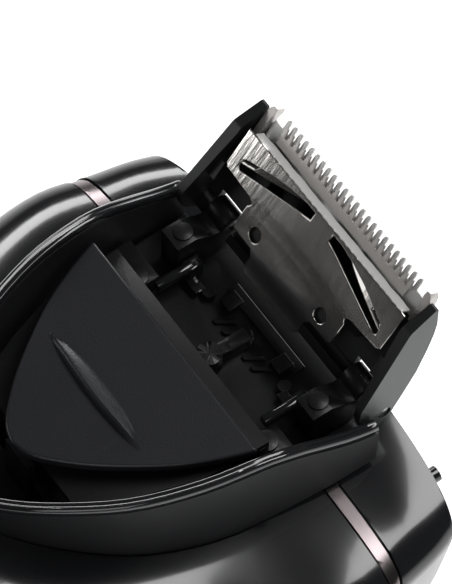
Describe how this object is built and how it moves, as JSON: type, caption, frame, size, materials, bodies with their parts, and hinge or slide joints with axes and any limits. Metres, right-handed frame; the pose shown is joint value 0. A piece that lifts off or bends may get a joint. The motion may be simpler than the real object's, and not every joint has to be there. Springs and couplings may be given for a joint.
{
  "type": "electric shaver",
  "caption": "Cordless rotary electric shaver lying on its front, pop-up hair trimmer swung open above a raised back spine and sliding thumb release.",
  "frame": {"origin": "middle of the bounding box in plan, on the level that the shaving unit rests on", "axes": "+Z out of the back, +Y along the handle towards the shaving head, +X to the right seen from the back with the head away"},
  "size_m": [0.0756, 0.1528, 0.0692],
  "materials": {
    "gloss_black": "high gloss black moulding",
    "satin_grey": "satin charcoal plastic",
    "matte_black": "matte black moulded plastic",
    "trimmer_shell": "satin dark plastic with a faint green metallic sheen",
    "stamped_steel": "bright stamped sheet with fine scratches",
    "tooth_steel": "ground blade steel",
    "chrome": "bright chrome plating",
    "cap_plastic": "gloss graphite plastic",
    "pin_steel": "plain steel",
    "contact_brass": "plated brass",
    "rubber_black": "soft black rubber",
    "lens": "translucent green lens",
    "board_green": "solder-masked board",
    "white_nylon": "natural nylon",
    "cell_wrap": "shrink sleeve on a cell"
  },
  "bodies": {
    "handle": {"back_shell": "gloss_black", "front_shell": "gloss_black", "neck_ring": "chrome", "drive_plate": "matte_black", "spine": "matte_black", "spine_rim": "gloss_black", "trimmer_bay": "matte_black", "latch_left": "gloss_black", "latch_right": "gloss_black", "bay_crossbar": "satin_grey", "status_lens": "lens", "circuit_board": "board_green", "switch_block": "white_nylon", "battery": "cell_wrap", "charging_socket": "matte_black", "socket_pin_left": "contact_brass", "socket_pin_right": "contact_brass", "grip_left": "rubber_black", "grip_right": "rubber_black", "screw_1": "pin_steel", "screw_2": "pin_steel", "motor": "pin_steel", "slide_spring": "pin_steel"},
    "trimmer": {"trimmer_frame": "trimmer_shell", "spring_plate": "stamped_steel", "trimmer_comb": "tooth_steel", "guard_left": "tooth_steel", "guard_right": "tooth_steel", "hinge_pin_left": "pin_steel", "hinge_pin_right": "pin_steel"},
    "trimmer_cutter": {"trimmer_cutter": "stamped_steel"},
    "drive_lever": {"drive_lever": "satin_grey"},
    "release_slide": {"release_slide": "satin_grey"},
    "power_button": {"power_button": "chrome"},
    "middle_gear": {"middle_gear": "contact_brass"},
    "shaving_unit": {"unit_base": "gloss_black", "unit_frame": "satin_grey"},
    "shaving_cap_1": {"cap_ring_1": "cap_plastic", "cap_guard_1": "tooth_steel"},
    "cutter_1": {"cutter_1": "tooth_steel"},
    "drive_gear_1": {"drive_gear_1": "white_nylon"},
    "shaving_cap_2": {"cap_ring_2": "cap_plastic", "cap_guard_2": "tooth_steel"},
    "cutter_2": {"cutter_2": "tooth_steel"},
    "drive_gear_2": {"drive_gear_2": "white_nylon"},
    "shaving_cap_3": {"cap_ring_3": "cap_plastic", "cap_guard_3": "tooth_steel"},
    "cutter_3": {"cutter_3": "tooth_steel"},
    "drive_gear_3": {"drive_gear_3": "white_nylon"}
  },
  "joints": [
    {"name": "trimmer_hinge", "type": "hinge", "parent": "handle", "child": "trimmer", "pos_m": [0, 0.06668, 0.05277], "axis": [1, 0, 0], "range_deg": [0, 98], "stiffness_Nm_per_rad": 0.004},
    {"name": "cutter_stroke", "type": "slide", "parent": "trimmer", "child": "trimmer_cutter", "axis": [1, 0, 0], "range_m": [-0.00087, 0.00087]},
    {"name": "lever_swing", "type": "hinge", "parent": "handle", "child": "drive_lever", "pos_m": [0, 0.05398, 0.05007], "axis": [0, 0, 1], "range_deg": [-9, 9]},
    {"name": "slide_push", "type": "slide", "parent": "handle", "child": "release_slide", "axis": [0, 1, 0], "range_m": [-0.003, 0], "stiffness_N_per_m": 150},
    {"name": "button_press", "type": "slide", "parent": "handle", "child": "power_button", "axis": [0, 0, 1], "range_m": [0, 0.0008], "stiffness_N_per_m": 800},
    {"name": "unit_open", "type": "hinge", "parent": "handle", "child": "shaving_unit", "pos_m": [0, 0.03698, -0.00083], "axis": [-1, 0, 0], "range_deg": [0, 80]},
    {"name": "motor_spin", "type": "hinge", "parent": "handle", "child": "middle_gear", "pos_m": [0, 0.04878, 0.03164], "axis": [0, 0.9063, -0.4226], "continuous": true},
    {"name": "cap_float_1", "type": "slide", "parent": "shaving_unit", "child": "shaving_cap_1", "axis": [0, 0.9063, -0.4226], "range_m": [-0.0012, 0], "stiffness_N_per_m": 250},
    {"name": "cutter_spin_1", "type": "hinge", "parent": "shaving_cap_1", "child": "cutter_1", "pos_m": [0.01444, 0.06146, 0.03282], "axis": [0, 0.9063, -0.4226], "continuous": true},
    {"name": "gear_spin_1", "type": "hinge", "parent": "handle", "child": "drive_gear_1", "pos_m": [0.01444, 0.05149, 0.03747], "axis": [0, 0.9063, -0.4226], "continuous": true},
    {"name": "cap_float_2", "type": "slide", "parent": "shaving_unit", "child": "shaving_cap_2", "axis": [0, 0.9063, -0.4226], "range_m": [-0.0012, 0], "stiffness_N_per_m": 250},
    {"name": "cutter_spin_2", "type": "hinge", "parent": "shaving_cap_2", "child": "cutter_2", "pos_m": [-0.01444, 0.06146, 0.03282], "axis": [0, 0.9063, -0.4226], "continuous": true},
    {"name": "gear_spin_2", "type": "hinge", "parent": "handle", "child": "drive_gear_2", "pos_m": [-0.01444, 0.05149, 0.03747], "axis": [0, 0.9063, -0.4226], "continuous": true},
    {"name": "cap_float_3", "type": "slide", "parent": "shaving_unit", "child": "shaving_cap_3", "axis": [0, 0.9063, -0.4226], "range_m": [-0.0012, 0], "stiffness_N_per_m": 250},
    {"name": "cutter_spin_3", "type": "hinge", "parent": "shaving_cap_3", "child": "cutter_3", "pos_m": [0, 0.05206, 0.01266], "axis": [0, 0.9063, -0.4226], "continuous": true},
    {"name": "gear_spin_3", "type": "hinge", "parent": "handle", "child": "drive_gear_3", "pos_m": [0, 0.04209, 0.01731], "axis": [0, 0.9063, -0.4226], "continuous": true}
  ],
  "couplings": [
    {"joint": "lever_swing", "follows": "cutter_stroke", "rad_per_m": -178.57},
    {"joint": "cutter_spin_1", "follows": "motor_spin", "ratio": -2.1875},
    {"joint": "gear_spin_1", "follows": "motor_spin", "ratio": -2.1875},
    {"joint": "cutter_spin_2", "follows": "motor_spin", "ratio": -2.1875},
    {"joint": "gear_spin_2", "follows": "motor_spin", "ratio": -2.1875},
    {"joint": "cutter_spin_3", "follows": "motor_spin", "ratio": -2.1875},
    {"joint": "gear_spin_3", "follows": "motor_spin", "ratio": -2.1875}
  ]
}
